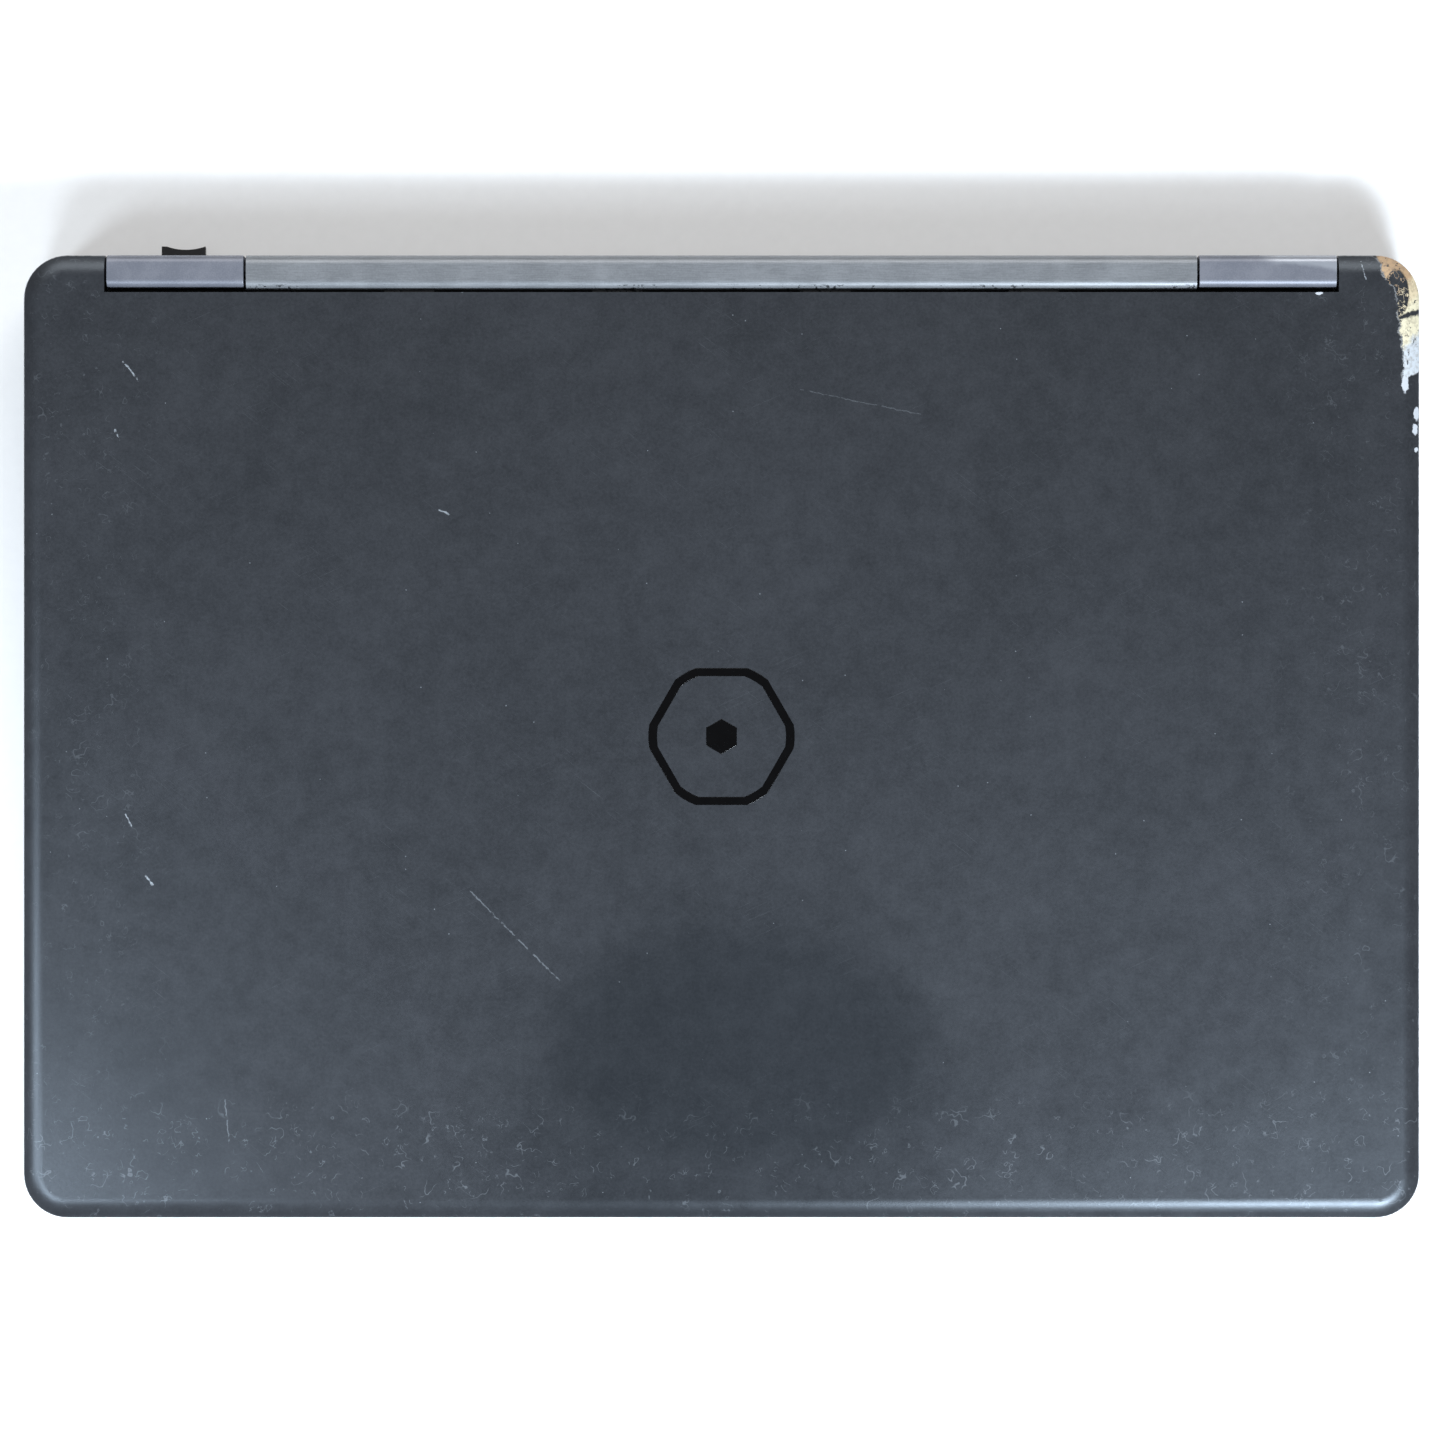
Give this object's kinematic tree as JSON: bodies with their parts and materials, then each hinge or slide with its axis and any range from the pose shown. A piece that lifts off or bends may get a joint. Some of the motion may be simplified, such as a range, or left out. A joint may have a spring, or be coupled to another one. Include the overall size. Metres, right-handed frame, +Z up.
{
  "type": "laptop computer",
  "caption": "Closed business laptop with a worn dark lid, silver hinge line, black hexagon badge, keyboard, touchpad and side sockets.",
  "frame": {"origin": "Under the middle of the closed laptop, on the surface that its feet stand on.", "axes": "+X to the user's right, +Y to the rear where the hinge is, +Z up."},
  "size_m": [0.335, 0.2346, 0.0224],
  "materials": {
    "lid_finish": "fine-grained soft-touch coating, worn",
    "silver_trim": "silver paint, lightly brushed and chipped",
    "badge": "polished black",
    "deck_finish": "fine matte soft-touch",
    "bottom_finish": "moulded texture",
    "key_plastic": "fine matte",
    "button_plastic": "fine matte",
    "touch_surface": "smooth matte",
    "bezel_plastic": "fine matte",
    "screen": "satin dark panel",
    "rubber_black": "matte rubber",
    "socket_steel": "stamped, nickel plated",
    "socket_plastic": "moulded",
    "steel": "bare steel",
    "hinge_steel": "black oxide on steel",
    "plate_aluminium": "sheet",
    "circuit_board": "solder mask",
    "copper": "bare copper",
    "inner_plastic": "moulded",
    "light_pipe": "clear moulded"
  },
  "bodies": {
    "base": {"bottom_cover": "bottom_finish", "case_screws": "steel", "rubber_feet": "rubber_black", "palm_rest": "deck_finish", "keyboard_plate": "plate_aluminium", "dome_sheet": "rubber_black", "keyboard_lattice": "key_plastic", "pointing_stick": "rubber_black", "touchpad": "touch_surface", "hinge_cap_left": "silver_trim", "hinge_cap_right": "silver_trim", "hinge_bracket_left": "hinge_steel", "hinge_bracket_right": "hinge_steel", "motherboard": "circuit_board", "heat_sink": "copper", "fan_housing": "inner_plastic", "memory_modules": "circuit_board", "storage_drive": "plate_aluminium", "wireless_card": "circuit_board", "battery_pack": "inner_plastic", "speakers": "inner_plastic", "network_jack": "socket_plastic", "usb_sockets": "socket_steel", "hdmi_socket": "socket_steel", "vga_socket": "socket_steel", "power_jack": "socket_plastic", "headset_jack": "socket_plastic", "card_slot": "socket_steel", "smart_card_reader": "socket_steel", "dock_connector": "socket_plastic", "status_lights": "light_pipe"},
    "lid": {"lid_cover": "lid_finish", "lid_trim": "silver_trim", "lid_emblem": "badge", "display_bezel": "bezel_plastic", "display_panel": "plate_aluminium", "screen_glass": "screen", "hinge_arm_left": "hinge_steel", "hinge_arm_right": "hinge_steel", "camera_module": "circuit_board", "lid_bumpers": "rubber_black", "display_cable": "inner_plastic", "antennas": "inner_plastic"},
    "keys_function_row": {"keys_function_row": "key_plastic"},
    "keys_number_row": {"keys_number_row": "key_plastic"},
    "keys_upper_row": {"keys_upper_row": "key_plastic"},
    "keys_home_row": {"keys_home_row": "key_plastic"},
    "keys_lower_row": {"keys_lower_row": "key_plastic"},
    "keys_modifier_row": {"keys_modifier_row": "key_plastic"},
    "arrow_keys": {"arrow_keys": "key_plastic"},
    "space_bar": {"space_bar": "key_plastic"},
    "enter_key": {"enter_key": "key_plastic"},
    "pad_button_left": {"pad_button_left": "button_plastic"},
    "pad_button_right": {"pad_button_right": "button_plastic"},
    "stick_button_left": {"stick_button_left": "button_plastic"},
    "stick_button_middle": {"stick_button_middle": "button_plastic"},
    "stick_button_right": {"stick_button_right": "button_plastic"},
    "power_button": {"power_button": "button_plastic"},
    "fan_rotor": {"fan_rotor": "inner_plastic"},
    "network_jaw": {"network_jaw": "socket_plastic"}
  },
  "joints": [
    {"name": "lid_hinge", "type": "hinge", "parent": "base", "child": "lid", "pos_m": [0, 0.1116, 0.0192], "axis": [-1, 0, 0], "range_deg": [0, 180]},
    {"name": "fan_spin", "type": "hinge", "parent": "base", "child": "fan_rotor", "pos_m": [-0.122, 0.066, 0.0062], "axis": [0, 0, 1], "continuous": true},
    {"name": "network_jaw_drop", "type": "hinge", "parent": "base", "child": "network_jaw", "pos_m": [-0.1308, 0.1, 0.0061], "axis": [-1, 0, 0], "range_deg": [0, 10], "stiffness_Nm_per_rad": 0.02, "springref_deg": -11.46},
    {"name": "keys_function_row_press", "type": "slide", "parent": "base", "child": "keys_function_row", "axis": [0, 0, -1], "range_m": [0, 0.0018], "stiffness_N_per_m": 3750, "springref_m": -0.0004},
    {"name": "keys_number_row_press", "type": "slide", "parent": "base", "child": "keys_number_row", "axis": [0, 0, -1], "range_m": [0, 0.0018], "stiffness_N_per_m": 3500, "springref_m": -0.0004},
    {"name": "keys_upper_row_press", "type": "slide", "parent": "base", "child": "keys_upper_row", "axis": [0, 0, -1], "range_m": [0, 0.0018], "stiffness_N_per_m": 3500, "springref_m": -0.0004},
    {"name": "keys_home_row_press", "type": "slide", "parent": "base", "child": "keys_home_row", "axis": [0, 0, -1], "range_m": [0, 0.0018], "stiffness_N_per_m": 3000, "springref_m": -0.0004},
    {"name": "keys_lower_row_press", "type": "slide", "parent": "base", "child": "keys_lower_row", "axis": [0, 0, -1], "range_m": [0, 0.0018], "stiffness_N_per_m": 3000, "springref_m": -0.0004},
    {"name": "keys_modifier_row_press", "type": "slide", "parent": "base", "child": "keys_modifier_row", "axis": [0, 0, -1], "range_m": [0, 0.0018], "stiffness_N_per_m": 1750, "springref_m": -0.0004},
    {"name": "arrow_keys_press", "type": "slide", "parent": "base", "child": "arrow_keys", "axis": [0, 0, -1], "range_m": [0, 0.0018], "stiffness_N_per_m": 1500, "springref_m": -0.0004},
    {"name": "space_bar_press", "type": "slide", "parent": "base", "child": "space_bar", "axis": [0, 0, -1], "range_m": [0, 0.0018], "stiffness_N_per_m": 375, "springref_m": -0.0004},
    {"name": "enter_key_press", "type": "slide", "parent": "base", "child": "enter_key", "axis": [0, 0, -1], "range_m": [0, 0.0018], "stiffness_N_per_m": 300, "springref_m": -0.0004},
    {"name": "pad_button_left_press", "type": "slide", "parent": "base", "child": "pad_button_left", "axis": [0, 0, -1], "range_m": [0, 0.0005], "stiffness_N_per_m": 1200, "springref_m": -0.0003},
    {"name": "pad_button_right_press", "type": "slide", "parent": "base", "child": "pad_button_right", "axis": [0, 0, -1], "range_m": [0, 0.0005], "stiffness_N_per_m": 1200, "springref_m": -0.0003},
    {"name": "stick_button_left_press", "type": "slide", "parent": "base", "child": "stick_button_left", "axis": [0, 0, -1], "range_m": [0, 0.0005], "stiffness_N_per_m": 1200, "springref_m": -0.0003},
    {"name": "stick_button_middle_press", "type": "slide", "parent": "base", "child": "stick_button_middle", "axis": [0, 0, -1], "range_m": [0, 0.0005], "stiffness_N_per_m": 1200, "springref_m": -0.0003},
    {"name": "stick_button_right_press", "type": "slide", "parent": "base", "child": "stick_button_right", "axis": [0, 0, -1], "range_m": [0, 0.0005], "stiffness_N_per_m": 1200, "springref_m": -0.0003},
    {"name": "power_button_press", "type": "slide", "parent": "base", "child": "power_button", "axis": [0, 0, -1], "range_m": [0, 0.0004], "stiffness_N_per_m": 1200, "springref_m": -0.0003}
  ]
}
